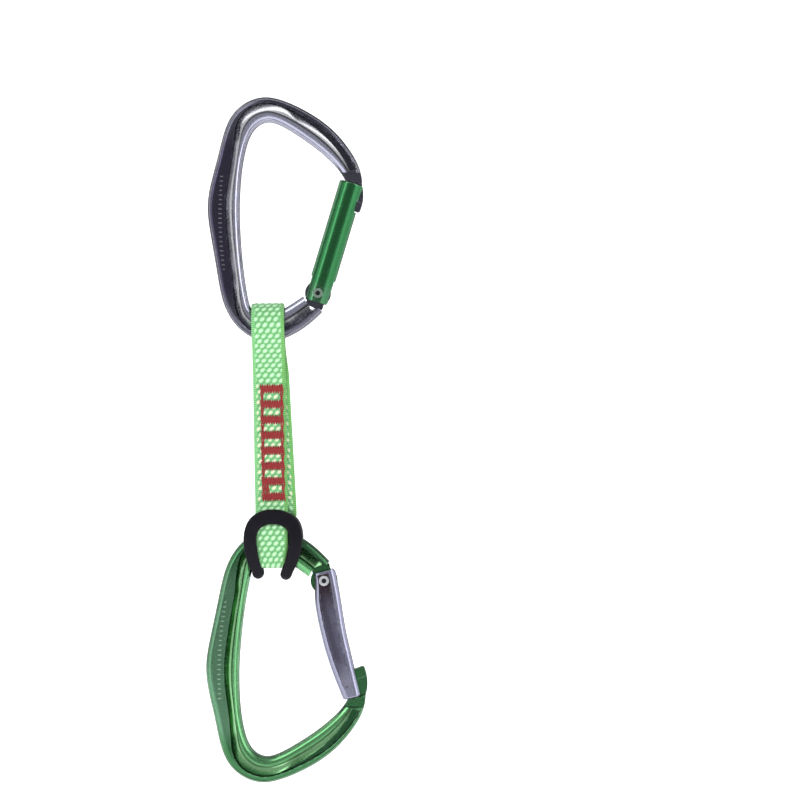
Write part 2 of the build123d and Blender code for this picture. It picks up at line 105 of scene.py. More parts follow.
# ---------------------------------------------------------------- node helpers
class Nodes:
    """A material under construction. Sockets or plain numbers go into every call."""

    def __init__(self, name):
        self.material = bpy.data.materials.new(name)
        self.material.use_nodes = True
        self.tree = self.material.node_tree
        self.tree.nodes.clear()

    def node(self, kind, **settings):
        made = self.tree.nodes.new(kind)
        for key, value in settings.items():
            setattr(made, key, value)
        return made

    def put(self, socket, value):
        if isinstance(value, bpy.types.NodeSocket):
            self.tree.links.new(value, socket)
        elif value is not None:
            socket.default_value = value

    def math(self, operation, a, b=None):
        made = self.node("ShaderNodeMath", operation=operation)
        for socket, value in zip(made.inputs, (a, b)):
            self.put(socket, value)
        return made.outputs[0]

    def product(self, first, *others):
        for other in others:
            first = self.math("MULTIPLY", first, other)
        return first

    def rest(self, value):
        """What is left of 1."""
        return self.math("SUBTRACT", 1.0, value)

    def squared(self, value):
        return self.math("POWER", value, 2)

    def squares(self, a, b):
        """The sum of two squares."""
        return self.math("ADD", self.squared(a), self.squared(b))

    def between(self, value, rise, fall):
        """1 between two limits, easing in over rise and out over fall."""
        return self.product(self.ramp(value, *rise), self.rest(self.ramp(value, *fall)))

    def ramp(self, value, low, high):
        """0 below low, 1 above high and smooth between them."""
        made = self.node("ShaderNodeMapRange", interpolation_type="SMOOTHSTEP")
        self.put(made.inputs["Value"], value)
        made.inputs["From Min"].default_value = low
        made.inputs["From Max"].default_value = high
        return made.outputs[0]

    def scale(self, value, low, high):
        made = self.node("ShaderNodeMapRange")
        self.put(made.inputs["Value"], value)
        made.inputs["To Min"].default_value = low
        made.inputs["To Max"].default_value = high
        return made.outputs[0]

    def mix(self, share, a, b):
        made = self.node("ShaderNodeMix", data_type="RGBA")
        self.put(made.inputs[0], share)
        self.put(made.inputs[6], a)
        self.put(made.inputs[7], b)
        return made.outputs[2]

    def place(self):
        return self.node("ShaderNodeTexCoord").outputs["Object"]

    def parts(self, vector):
        made = self.node("ShaderNodeSeparateXYZ")
        self.put(made.inputs[0], vector)
        return made.outputs

    def turned(self, vector, location=(0, 0, 0), rotation=(0, 0, 0), scale=(1, 1, 1)):
        """A vector in the axes of something placed at location, turned and scaled."""
        made = self.node("ShaderNodeMapping", vector_type="TEXTURE")
        self.put(made.inputs["Vector"], vector)
        made.inputs["Location"].default_value = location
        made.inputs["Rotation"].default_value = rotation
        made.inputs["Scale"].default_value = scale
        return made.outputs[0]

    def stretched(self, vector, scale):
        made = self.node("ShaderNodeMapping")
        self.put(made.inputs["Vector"], vector)
        made.inputs["Scale"].default_value = scale
        return made.outputs[0]

    def noise(self, vector, scale, detail=3.0, roughness=0.55):
        made = self.node("ShaderNodeTexNoise")
        self.put(made.inputs["Vector"], vector)
        made.inputs["Scale"].default_value = scale
        made.inputs["Detail"].default_value = detail
        made.inputs["Roughness"].default_value = roughness
        return made.outputs["Fac"]

    def bump(self, height, strength, distance, normal=None):
        made = self.node("ShaderNodeBump")
        made.inputs["Strength"].default_value = strength
        made.inputs["Distance"].default_value = distance
        self.put(made.inputs["Height"], height)
        self.put(made.inputs["Normal"], normal)
        return made.outputs[0]

    def edges(self, radius, low, high):
        """1 along sharp edges, from how far a rounded normal leaves the true one."""
        rounded = self.node("ShaderNodeBevel", samples=4)
        rounded.inputs["Radius"].default_value = radius
        true = self.node("ShaderNodeNewGeometry").outputs["Normal"]
        dot = self.node("ShaderNodeVectorMath", operation="DOT_PRODUCT")
        self.put(dot.inputs[0], rounded.outputs[0])
        self.put(dot.inputs[1], true)
        return self.ramp(self.rest(dot.outputs["Value"]), low, high)

    def finish(self, **sockets):
        shader = self.node("ShaderNodeBsdfPrincipled")
        for key, value in sockets.items():
            self.put(shader.inputs[key.replace("_", " ")], value)
        output = self.node("ShaderNodeOutputMaterial")
        self.tree.links.new(shader.outputs[0], output.inputs[0])
        return self.material


# ---------------------------------------------------------------- metal
# Masks on a forged body, in its own millimetres. A pair is where a mask eases in or out.
FLANGE_DEPTH = (4.3, 4.9)
FACE_ON = (0.55, 0.95)
SPINE_ENDS = ((-80, -66), (-12, -2))
SPINE_SIDE = (-11, -8)
HINGE_ZONE = 6.2
NOSE_SIDE = 24
NOSE_SPAN = (-50, -20.7)
TROUGH_HALF = 2.6
LINE_EASE = 0.7
POCKET_DEPTH = 2.3
POCKET_FOOT = -22
DISH = 0.12
DISH_SHIFT = 0.8
PANEL_MIDDLE = (-20.2, -38)
PANEL_BOW = 0.003
PANEL_DEPTH = 5.0
DASH_PITCH = 1.9
DASH_SHARE = 0.24
DASH_ENDS = ((-61.5, -61), (-22, -21.5))

# The bar's outline, section by section from the nose round to the hinge, and the channel's line
# on it: a share of the way from the outer edge to the inner one, larger beside the spine's panel.
BAR_OUTER = [
    (37.8, -25.9), (36.9, -19.6), (32.9, -11.9), (25.4, -3.1), (15.6, 3.9), (6.0, 8.4),
    (-1.6, 10.0), (-9.2, 8.0), (-15.4, 2.6), (-18.9, -5.2), (-21.4, -15.0), (-24.3, -26.2),
    (-25.4, -35.0), (-24.6, -43.8), (-22.8, -54.2), (-21.0, -65.0), (-18.3, -75.8),
    (-13.6, -83.5), (-7.0, -88.4), (0.2, -89.9), (7.6, -88.0), (15.3, -83.4), (21.5, -77.8),
]
BAR_INNER = [
    (30.7, -23.7), (29.2, -21.1), (25.0, -16.2), (18.2, -10.3), (10.6, -5.0), (3.7, -1.1),
    (-0.6, -0.05), (-4.6, -1.5), (-7.8, -5.4), (-9.7, -10.6), (-11.2, -18.0), (-12.1, -27.2),
    (-12.4, -35.2), (-12.2, -43.8), (-11.5, -54.4), (-10.4, -64.0), (-9.0, -72.3),
    (-7.3, -77.0), (-4.3, -79.2), (-0.4, -79.4), (3.9, -77.6), (9.6, -74.2), (14.9, -70.7),
]
RING_CENTRE = (6, -42)
LINE_TOP = 50
CHANNEL_SHARE = 0.62
SPINE_SHARE = 0.75
SPINE_FROM = (7.6, 9.6)
SPINE_TO = (15, 17)
LEFT_OUT = (1, 3, 5, 8, 19, 21)
LINE_SEAM = 21.6
LINE_AT_OPENING = (0.45, 30.0)


def share_of(value, start, end):
    """0 at start, 1 at end and even between them."""
    return min(max((value - start) / (end - start), 0), 1)


def channel_line():
    """Pairs of a direction from the ring's centre, in turns, and how far out the channel is."""
    line = [(0.0, LINE_SEAM), LINE_AT_OPENING, (1.0, LINE_SEAM)]
    for number, (outer, inner) in enumerate(zip(BAR_OUTER, BAR_INNER)):
        if number in LEFT_OUT:
            continue
        spine = share_of(number, *SPINE_FROM) * (1 - share_of(number, *SPINE_TO))
        share = CHANNEL_SHARE + (SPINE_SHARE - CHANNEL_SHARE) * spine
        x, y = (o + (i - o) * share - c for o, i, c in zip(outer, inner, RING_CENTRE))
        line.append((round(math.atan2(y, x) / (2 * math.pi) + 0.5, 3), round(math.hypot(x, y), 1)))
    return sorted(line)


CHANNEL_LINE = channel_line()


def local_place(m, lower):
    """A point in a carabiner's own axes, in its own millimetres."""
    place = m.place()
    if not lower:
        return m.stretched(place, (1 / MM,) * 3)
    size = LOWER_SCALE * MM
    turned = m.turned(
        place,
        location=(LOWER_SEAT[0] * MM, 0, LOWER_SEAT[1] * MM),
        rotation=(0, LOWER_TILT, 0),
        scale=(size, size, size),
    )
    return m.stretched(turned, (1, 1, -1))


def gate_place(m, lower):
    """A point in a gate's own axes: out, across and towards the tip."""
    own = local_place(m, lower)
    return m.turned(own, location=(PIVOT[0], 0, PIVOT[1]), rotation=(0, GATE_LEAN, 0))


GATE_LINES = (2.4, 2.4, 0.2)


def metal_finish(m, own, colour, rough, worn_edge_highlight_colour, lines=(1.1, 1.1, 1.1), dish=None):
    """Anodised aluminium: blasted grain, faint forging lines, and on the edges wear with a painted
    highlight.
    """
    cloud = m.noise(own, 0.16, 3)
    fine = m.noise(own, 5.5, 2)
    brushed = m.noise(m.stretched(own, lines), 1.4, 3)
    edge = m.edges(0.0007, 0.02, 0.22)
    wear_and_edge_highlight = m.product(edge, m.ramp(m.noise(own, 0.6, 4), 0.42, 0.68))
    colour = m.mix(m.scale(cloud, 0.0, 0.14), colour, (0.0, 0.0, 0.0, 1))
    # Edges are lightened in patches towards the edge colour: wear together with a painted edge
    # highlight.
    colour = m.mix(m.product(wear_and_edge_highlight, 0.75), colour, worn_edge_highlight_colour)
    roughness = m.math("ADD", m.scale(brushed, rough - 0.05, rough + 0.07), m.scale(fine, -0.02, 0.02))
    normal = None if dish is None else m.bump(dish, 1.0, MM)
    normal = m.bump(fine, 0.02, 0.00004, m.bump(brushed, 0.03, 0.0001, normal))
    return m.finish(
        Base_Color=colour, Metallic=1.0, Roughness=roughness, Normal=normal,
        Specular_IOR_Level=0.5,
    )


def past_channel(m, x, y):
    """How far a point lies outside the channel's line, in millimetres."""
    dx = m.math("SUBTRACT", x, RING_CENTRE[0])
    dy = m.math("SUBTRACT", y, RING_CENTRE[1])
    turn = m.math("ADD", m.math("DIVIDE", m.math("ARCTAN2", dy, dx), 2 * math.pi), 0.5)
    line = m.node("ShaderNodeFloatCurve")
    curve = line.mapping.curves[0]
    spots = [(where, out / LINE_TOP) for where, out in CHANNEL_LINE]
    curve.points[0].location = spots[0]
    curve.points[1].location = spots[-1]
    for spot in spots[1:-1]:
        curve.points.new(*spot)
    line.mapping.update()
    m.put(line.inputs["Value"], turn)
    out = m.math("SQRT", m.squares(dx, dy))
    return m.math("SUBTRACT", out, m.product(line.outputs[0], LINE_TOP))


def panel_dashes(m, own, x, y):
    """Etched dashes of uneven width down the middle of the spine's panel."""
    bow = m.product(m.squared(m.math("SUBTRACT", y, PANEL_MIDDLE[1])), PANEL_BOW)
    across = m.math("ABSOLUTE", m.math("SUBTRACT", x, m.math("ADD", bow, PANEL_MIDDLE[0])))
    step = m.math("FRACT", m.math("DIVIDE", y, DASH_PITCH))
    wide = m.scale(m.noise(m.stretched(own, (0, 0, 1)), 0.9, 0), 0.25, 1.0)
    dash = m.product(m.math("LESS_THAN", step, DASH_SHARE), m.math("LESS_THAN", across, wide))
    return m.product(dash, m.between(y, *DASH_ENDS))


def body_material(name, lower, outer, inner, floor, wall, panel, mark, edge):
    """Forged body: flanges and spine panel differ in tone; channel floors get a painted highlight, its
    sides, walls and pocket painted shade.
    """
    m = Nodes(name)
    own = local_place(m, lower)
    x, depth, y = m.parts(own)
    depth = m.math("ABSOLUTE", depth)
    normal = m.parts(m.node("ShaderNodeTexCoord").outputs["Normal"])
    facing = m.ramp(m.math("ABSOLUTE", normal[1]), *FACE_ON)
    side = m.rest(facing)
    sunk = m.rest(m.ramp(depth, *FLANGE_DEPTH))
    floors = m.product(sunk, facing)
    past = past_channel(m, x, y)
    outside = m.ramp(past, -LINE_EASE, LINE_EASE)
    trough = m.math("LESS_THAN", m.math("ABSOLUTE", past), TROUGH_HALF)
    spine = m.product(m.between(y, *SPINE_ENDS), m.rest(m.ramp(x, *SPINE_SIDE)))
    from_pivot = m.squares(m.math("SUBTRACT", x, PIVOT[0]), m.math("SUBTRACT", y, PIVOT[1]))
    hinge = m.math("LESS_THAN", from_pivot, HINGE_ZONE ** 2)
    nose = m.product(
        m.math("GREATER_THAN", x, NOSE_SIDE),
        m.math("GREATER_THAN", y, NOSE_SPAN[0]),
        m.math("LESS_THAN", y, NOSE_SPAN[1]),
    )
    near_gate = m.math("MAXIMUM", hinge, nose)
    pocket_shade = m.product(
        facing, m.math("LESS_THAN", depth, POCKET_DEPTH), m.math("GREATER_THAN", y, POCKET_FOOT)
    )
    colour = m.mix(outside, inner, m.mix(spine, outer, panel))
    # Painted shade: faces that turn away from the front are pulled towards the darker outer colour.
    colour = m.mix(m.product(side, 0.45), colour, outer)
    # Painted highlight: the channel floors take the pale floor colour, except beside the gate.
    colour = m.mix(floors, colour, m.mix(near_gate, floor, outer))
    # The channel's sides take the dark wall colour as painted shade, and the floor's painted highlight
    # on the spine's outer side.
    slope_shade_and_highlight = m.mix(m.product(spine, outside), wall, floor)
    colour = m.mix(m.product(sunk, side, trough), colour, slope_shade_and_highlight)
    # Painted shade: the pocket is darkened towards the wall colour.
    colour = m.mix(pocket_shade, colour, m.mix(0.45, wall, outer))
    on_panel = m.product(facing, m.math("GREATER_THAN", depth, PANEL_DEPTH))
    colour = m.mix(m.product(panel_dashes(m, own, x, y), on_panel, 0.5), colour, mark)
    # The channel's floor is dished across its width.
    span = m.math("SUBTRACT", past, m.product(spine, DISH_SHIFT))
    dish = m.product(m.squared(span), DISH, floors, m.rest(near_gate), m.rest(pocket_shade))
    return metal_finish(m, own, colour, 0.24, edge, dish=dish)


GATE_FOOT = (1.5, 5.5)
GATE_TIP_HIGHLIGHT = (46.6, 47.3)


def straight_gate_material():
    m = Nodes("gate_green_anodised")
    own = gate_place(m, False)
    along = m.parts(own)[2]
    foot = m.rest(m.ramp(along, *GATE_FOOT))
    colour = m.mix(m.product(foot, 0.35), srgb(50, 108, 66), srgb(84, 116, 94))
    # Painted highlight: a pale band round the tip's rim.
    tip = m.ramp(along, *GATE_TIP_HIGHLIGHT)
    colour = m.mix(m.product(tip, 0.7), colour, srgb(150, 200, 165))
    return metal_finish(m, own, colour, 0.25, srgb(130, 178, 145), GATE_LINES)


RECESS_DEPTH = (3.9, 4.4)
RECESS_SIDES = ((-5.6, -4.6), (2.2, 2.8))
RECESS_SHADED_BAND = ((-4.6, -3.4), (-2.6, -0.4))
RECESS_SHADE = (1.0, 15.0)
RECESS_PAINTED_LIGHT = (30, 42)


def bent_gate_material():
    m = Nodes("gate_grey_anodised")
    own = gate_place(m, True)
    across, depth, along = m.parts(own)
    sunk = m.rest(m.ramp(m.math("ABSOLUTE", depth), *RECESS_DEPTH))
    # Painted shade: the recess floor is darker than the rim, darker still towards the rivet and in a
    # band along one side; painted light brightens it towards the tip.
    near = m.rest(m.ramp(along, *RECESS_SHADE))
    floor = m.mix(near, srgb(112, 110, 130), srgb(66, 54, 60))
    floor = m.mix(m.product(m.between(across, *RECESS_SHADED_BAND), 0.5), floor, srgb(64, 60, 74))
    floor = m.mix(m.product(m.ramp(along, *RECESS_PAINTED_LIGHT), 0.5), floor, srgb(176, 176, 196))
    recess = m.product(sunk, m.between(across, *RECESS_SIDES))
    colour = m.mix(recess, srgb(142, 142, 162), floor)
    return metal_finish(m, own, colour, 0.27, srgb(214, 214, 226), GATE_LINES)


def rivet_material(name, lower, shade):
    m = Nodes(name)
    own = gate_place(m, lower)
    x, _, y = m.parts(own)
    out = m.math("SQRT", m.squares(x, y))
    rings = m.math("SINE", m.product(out, 22.0))
    # Painted shade in the rivet's central dimple: dark within about a millimetre of its centre.
    colour = m.mix(m.ramp(out, 0.85, 1.1), srgb(40, 40, 46), shade)
    colour = m.mix(m.scale(m.noise(own, 1.6, 4), 0, 0.35), colour, srgb(90, 88, 92))
    rough = m.scale(m.noise(own, 3.0, 3), 0.2, 0.42)
    return m.finish(
        Base_Color=colour, Metallic=1.0, Roughness=rough,
        Normal=m.bump(rings, 0.12, 0.00004, m.bump(m.noise(own, 5, 2), 0.2, 0.00006)),
    )


def wire_material(name, shade):
    """Drawn or turned steel, for springs and plungers."""
    m = Nodes(name)
    place = m.place()
    lines = m.noise(m.stretched(place, (900, 900, 6000)), 1.0, 3)
    colour = m.mix(m.scale(lines, 0, 0.5), shade, srgb(110, 108, 105))
    return m.finish(
        Base_Color=colour, Metallic=1.0, Roughness=m.scale(lines, 0.18, 0.38),
        Normal=m.bump(lines, 0.15, 0.00003),
    )


# floor is the painted highlight of the channel floors, wall the painted shade of the channel walls and
# pocket, edge the worn and highlighted edges.
GREY_BODY = body_material(
    "body_gunmetal", False,
    outer=srgb(88, 88, 100), inner=srgb(168, 168, 188), floor=srgb(246, 246, 252),
    wall=srgb(36, 36, 46), panel=srgb(70, 66, 84), mark=srgb(205, 205, 215), edge=srgb(200, 200, 214),
)
GREEN_BODY = body_material(
    "body_green_anodised", True,
    outer=srgb(62, 110, 72), inner=srgb(106, 168, 114), floor=srgb(156, 214, 156),
    wall=srgb(24, 58, 34), panel=srgb(96, 138, 108), mark=srgb(200, 225, 206), edge=srgb(170, 214, 178),
)
METALS = {
    "upper_body": GREY_BODY,
    "lower_body": GREEN_BODY,
    "upper_gate": straight_gate_material(),
    "lower_gate": bent_gate_material(),
    "upper_gate_rivet": rivet_material("rivet_upper", False, srgb(160, 186, 168)),
    "lower_gate_rivet": rivet_material("rivet_lower", True, srgb(225, 225, 228)),
    "upper_gate_spring": wire_material("spring_upper", srgb(190, 190, 192)),
    "lower_gate_spring": wire_material("spring_lower", srgb(190, 190, 192)),
    "upper_gate_plunger": wire_material("plunger_upper", srgb(170, 168, 160)),
    "lower_gate_plunger": wire_material("plunger_lower", srgb(170, 168, 160)),
}
for node_name, material in METALS.items():
    item = NODES[node_name]
    for place in item.material_slots:
        place.link = "OBJECT"
        place.material = material


# ---------------------------------------------------------------- sling geometry
def sling(points):
    """Points given as (across, back, height) in the sling's own axes, in metres."""
    p = np.asarray(points, float) * MM
    c, s = math.cos(SLING_LEAN), math.sin(SLING_LEAN)
    x = SLING_TOP[0] * MM + p[:, 0] * c - p[:, 2] * s
    z = SLING_TOP[1] * MM + p[:, 0] * s + p[:, 2] * c
    return np.stack([x, p[:, 1], z], 1)


def even(path, step):
    """A path sampled at even steps."""
    path = np.asarray(path, float)
    length = np.concatenate([[0], np.cumsum(np.hypot(*np.diff(path, axis=0).T))])
    count = max(2, round(length[-1] / step) + 1)
    at = np.linspace(0, length[-1], count)
    return np.stack([np.interp(at, length, path[:, 0]), np.interp(at, length, path[:, 1])], 1)


def softened(path, reach):
    """A path with its corners eased over a reach on each side, its two ends kept."""
    path = even(path, STEP)
    width = max(1, round(reach / STEP))
    for _ in range(3):
        lead = 2 * path[0] - path[width:0:-1]
        tail = 2 * path[-1] - path[-2:-width - 2:-1]
        padded = np.concatenate([lead, path, tail])
        sums = np.cumsum(np.concatenate([[[0, 0]], padded]), axis=0)
        window = 2 * width + 1
        path = (sums[window:] - sums[:-window]) / window
    return even(path, STEP)


SHIFT_NECK = 1.5
SHIFT_SEWN = 2.0


def eased(share):
    return share * share * (3 - 2 * share)


def back_shift(height):
    """How far the back strand stands out to the side, by height."""
    neck = np.clip((-height - 16) / 16, 0, 1)
    sewn = np.clip((-height - 32) / 52, 0, 1)
    foot = np.clip((-height - 86) / 14, 0, 1)
    return (SHIFT_NECK * eased(neck) + SHIFT_SEWN * sewn) * (1 - eased(foot))


def fleck_relief(u, v):
    """1 in the middle of a fleck, falling to nothing round it."""
    row = np.floor(v / FLECK_ROW)
    q = np.mod((u + FLECK_STEP * row) / FLECK_PITCH, 1) - 0.5
    p = np.mod(v / FLECK_ROW, 1) - 0.5
    q = q - FLECK_SLANT * p
    d = (q * FLECK_PITCH / FLECK_RELIEF_HALF[0]) ** 2 + (p * FLECK_ROW / FLECK_RELIEF_HALF[1]) ** 2
    return np.exp(-d * 1.3)


COLUMNS = 58
EDGE_SQUARENESS = 9
RIDGE_HEIGHT = 0.10
RIDGE_AT = 5.9
RIDGE_WIDTH = 0.45
PLAIN_EDGE = 0.9
RIB_HEIGHT = 0.035
CURL_FROM = -99
CURL_OVER = 9


def strand_section():
    """The band's section as places round it: across, and out of the middle of its thickness."""
    x = HALF_WIDTH * np.sin(np.linspace(-1, 1, COLUMNS) * math.pi / 2)
    thick = HALF_THICK * (1 - np.abs(x / HALF_WIDTH) ** EDGE_SQUARENESS) ** 0.5
    thick = thick + RIDGE_HEIGHT * np.exp(-((np.abs(x) - RIDGE_AT) / RIDGE_WIDTH) ** 2)
    return np.concatenate([x, x[-2:0:-1]]), np.concatenate([thick, -thick[-2:0:-1]])


def strand_grid(path, v_start, side, sewn):
    """One strand as a closed skin. side is 1 for a strand that shifts, 0 for one that doesn't,
    or "loop" where the strand goes from one to the other. Returns points, uv and sewn share."""
    path = np.asarray(path, float)
    tangent = np.gradient(path, axis=0)
    tangent /= np.hypot(tangent[:, 0], tangent[:, 1])[:, None]
    normal = np.stack([-tangent[:, 1], tangent[:, 0]], 1)
    v = v_start + np.concatenate([[0], np.cumsum(np.hypot(*np.diff(path, axis=0).T))])
    face_x, face_t = strand_section()
    u = face_x + HALF_WIDTH
    cover = np.clip((HALF_WIDTH - PLAIN_EDGE - np.abs(face_x)) / 0.8, 0, 1)
    relief = RELIEF * fleck_relief(u[None, :], v[:, None])
    ribs = RIB_HEIGHT * np.sin(2 * math.pi * (face_x[None, :] * 0.8 + v[:, None] * 0.55))
    lift = np.where(face_t < 0, -INNER_RELIEF, np.sign(face_t))
    offset = face_t[None, :] + lift[None, :] * (relief + ribs) * cover[None, :]
    shifted = path[:, 0] > 0 if side == "loop" else side
    curl = 1 - FOOT_NARROW * eased(np.clip((CURL_FROM - path[:, 1]) / CURL_OVER, 0, 1))
    across = face_x[None, :] * curl[:, None] + (back_shift(path[:, 1]) * shifted)[:, None]
    back = path[:, 0][:, None] + normal[:, 0][:, None] * offset
    height = path[:, 1][:, None] + normal[:, 1][:, None] * offset
    points = np.stack([across, back, height], 2)
    uv = np.stack(np.broadcast_arrays(u[None, :], v[:, None]), 2)
    sewn_share = np.broadcast_to(sewn(path[:, 1])[:, None], points.shape[:2])
    return points, uv, sewn_share


def strand_mesh(name, strands):
    """A mesh object from strand grids, with its weave and its sewn share as UV maps."""
    verts, faces, uvs, zones = [], [], [], []
    base = 0
    for points, uv, sewn_share in strands:
        rows, ring = points.shape[:2]
        verts.append(sling(points.reshape(-1, 3)))

        def corner(i, j):
            return base + i * ring + j % ring

        for i in range(rows - 1):
            for j in range(ring):
                faces.append((corner(i, j), corner(i, j + 1), corner(i + 1, j + 1), corner(i + 1, j)))
                for r, c in ((i, j), (i, j + 1), (i + 1, j + 1), (i + 1, j)):
                    uvs.append(uv[r, c % ring])
                    zones.append((sewn_share[r, c % ring], 0))
        for i in (0, rows - 1):
            order = range(ring) if i else range(ring - 1, -1, -1)
            faces.append(tuple(corner(i, j) for j in order))
            for j in order:
                uvs.append(uv[i, j])
                zones.append((sewn_share[i, j], 0))
        base += rows * ring
    mesh = bpy.data.meshes.new(name)
    mesh.from_pydata(np.concatenate(verts).tolist(), [], faces)
    for layer, values in (("weave", uvs), ("zone", zones)):
        made = mesh.uv_layers.new(name=layer)
        made.data.foreach_set("uv", np.asarray(values, np.float32).ravel())
    mesh.polygons.foreach_set("use_smooth", [True] * len(mesh.polygons))
    obj = bpy.data.objects.new(name, mesh)
    bpy.context.collection.objects.link(obj)
    outward(obj)
    return obj


def outward(obj):
    """Turns every face outwards."""
    work = bmesh.new()
    work.from_mesh(obj.data)
    bmesh.ops.recalc_face_normals(work, faces=work.faces)
    work.to_mesh(obj.data)
    work.free()


SEWN_MARGIN = (3, 4)
SEWN_EASE = 2.5


def sewn_zone(height):
    """1 along the sewn length, 0 beyond it."""
    upper = np.clip((TACK_FIRST + SEWN_MARGIN[0] - height) / SEWN_EASE, 0, 1)
    return upper * np.clip((height - TACK_LAST + SEWN_MARGIN[1]) / SEWN_EASE, 0, 1)


def tangent_angle(radius, centre, start):
    """Where a line from start touches the front of a circle, as an angle from the crown."""
    reach = math.hypot(start[0], start[1] - centre)
    lean = math.atan2(-start[0], centre - start[1])
    return math.pi - math.acos(radius / reach) - lean


neck = (-STRAND_OUT, NECK_HEIGHT)
turn = tangent_angle(CROWN_RADIUS, CROWN_HEIGHT, neck)
arc = [
    (CROWN_RADIUS * math.sin(t), CROWN_HEIGHT + CROWN_RADIUS * math.cos(t))
    for t in np.linspace(-turn, turn, 90)
]
top_path = softened(
    [(-STRAND_OUT, TACK_FIRST), neck] + arc + [(STRAND_OUT, NECK_HEIGHT), (STRAND_OUT, TACK_FIRST)],
    1.3,
)
front_path = even([(-STRAND_OUT, TACK_LAST), (-STRAND_OUT, TACK_FIRST)], STEP)
back_path = front_path[::-1] * (-1, 1)
LOOP_MOUTH = -84.4
LOOP_OUT = 6.62
LOOP_SHOULDER = -91.8
LOOP_FOOT = -107.72
foot_path = softened(
    [
        (STRAND_OUT, TACK_LAST), (STRAND_OUT, LOOP_MOUTH), (LOOP_OUT, LOOP_SHOULDER),
        (LOOP_OUT, LOOP_FOOT), (-LOOP_OUT, LOOP_FOOT), (-LOOP_OUT, LOOP_SHOULDER),
        (-STRAND_OUT, LOOP_MOUTH), (-STRAND_OUT, TACK_LAST),
    ],
    1.0,
)


def run(path):
    """A path's length."""
    return float(np.hypot(*np.diff(path, axis=0).T).sum())


top_v = TACK_FIRST
back_v = top_v + run(top_path)
foot_v = TACK_LAST - run(foot_path)
webbing_top = strand_mesh("webbing_top_loop", [strand_grid(top_path, top_v, "loop", sewn_zone)])
webbing_middle = strand_mesh(
    "webbing_sewn_strap",
    [
        strand_grid(front_path, TACK_LAST, 0, sewn_zone),
        strand_grid(back_path, back_v, 1, sewn_zone),
    ],
)
webbing_bottom = strand_mesh(
    "webbing_bottom_loop", [strand_grid(foot_path, foot_v, "loop", sewn_zone)]
)


WOVEN = ((0.9, 1.6), (11.7, 12.3))


def fleck_masks(m, weave, u, v):
    """1 on the pale flecks, and 1 in the gaps between them, where painted shade goes."""
    row = m.math("FLOOR", m.math("DIVIDE", v, FLECK_ROW))
    p = m.math("SUBTRACT", m.math("FRACT", m.math("DIVIDE", v, FLECK_ROW)), 0.5)
    q = m.math("ADD", u, m.product(row, FLECK_STEP))
    q = m.math("SUBTRACT", m.math("FRACT", m.math("DIVIDE", q, FLECK_PITCH)), 0.5)
    q = m.math("SUBTRACT", q, m.product(p, FLECK_SLANT))
    wide = m.math("DIVIDE", m.product(q, FLECK_PITCH), FLECK_COLOUR_HALF[0])
    high = m.math("DIVIDE", m.product(p, FLECK_ROW), FLECK_COLOUR_HALF[1])
    ragged = m.scale(m.noise(weave, 1.3, 4), -0.8, 0.8)
    away = m.math("ADD", m.squares(wide, high), ragged)
    return m.rest(m.ramp(away, 0.45, 1.25)), m.ramp(away, 1.3, 3.0)


def webbing_material():
    m = Nodes("webbing_woven")
    weave = m.node("ShaderNodeUVMap", uv_map="weave").outputs[0]
    zone = m.parts(m.node("ShaderNodeUVMap", uv_map="zone").outputs[0])[0]
    u, v, _ = m.parts(weave)
    middle = m.between(u, *WOVEN)
    fleck, gap_shade = fleck_masks(m, weave, u, v)
    fleck = m.product(fleck, middle)
    yarn = m.math("SINE", m.math("ADD", m.product(u, 9.5), m.product(v, 5.2)))
    rib = m.math("SINE", m.product(v, 8.2))
    ground = m.mix(m.scale(m.noise(weave, 0.55, 4), 0, 1), srgb(104, 166, 114), srgb(136, 196, 138))
    ground = m.mix(m.product(m.ramp(yarn, -0.2, 0.9), 0.6), ground, srgb(156, 216, 148))
    # Painted shade between the raised flecks.
    colour = m.mix(m.product(gap_shade, 0.62), ground, srgb(66, 126, 74))
    colour = m.mix(fleck, colour, m.mix(zone, srgb(190, 230, 188), srgb(222, 214, 190)))
    right = m.ramp(u, 5.0, 8.0)
    dark = m.mix(right, srgb(96, 160, 100), srgb(86, 148, 76))
    light = m.mix(right, srgb(146, 208, 142), srgb(128, 190, 108))
    edge = m.mix(m.ramp(rib, -0.4, 0.8), dark, light)
    colour = m.mix(middle, edge, colour)
    fuzz = m.noise(weave, 7.0, 3)
    colour = m.mix(m.scale(fuzz, 0, 0.3), colour, srgb(66, 128, 66))
    height = m.math("ADD", m.product(yarn, 0.5), m.product(fleck, 0.8))
    height = m.mix(middle, rib, height)
    normal = m.bump(fuzz, 0.35, 0.0001, m.bump(height, 0.6, 0.00016))
    return m.finish(
        Base_Color=colour, Roughness=0.72, Normal=normal, Specular_IOR_Level=0.25,
        Sheen_Weight=0.25, Sheen_Roughness=0.4,
    )


WEBBING = webbing_material()
for piece in (webbing_top, webbing_middle, webbing_bottom):
    piece.data.materials.append(WEBBING)
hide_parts("sling_top_loop")
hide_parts("sling_upper_strap", "sling_lower_strap")
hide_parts("sling_bottom_loop")
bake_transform(webbing_top)
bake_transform(webbing_middle)
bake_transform(webbing_bottom)


# ---------------------------------------------------------------- stitching
draw = random.Random(11)


THREAD_SIDES = 7
THREAD_END = 0.55


def across_axes(along):
    """Two directions square to a thread."""
    one = np.cross(along, (1.0, 0.02, 0.03))
    if np.linalg.norm(one) < 0.2:
        one = np.cross(along, (0.0, 0.0, 1.0))
    one /= np.linalg.norm(one)
    return one, np.cross(along, one)


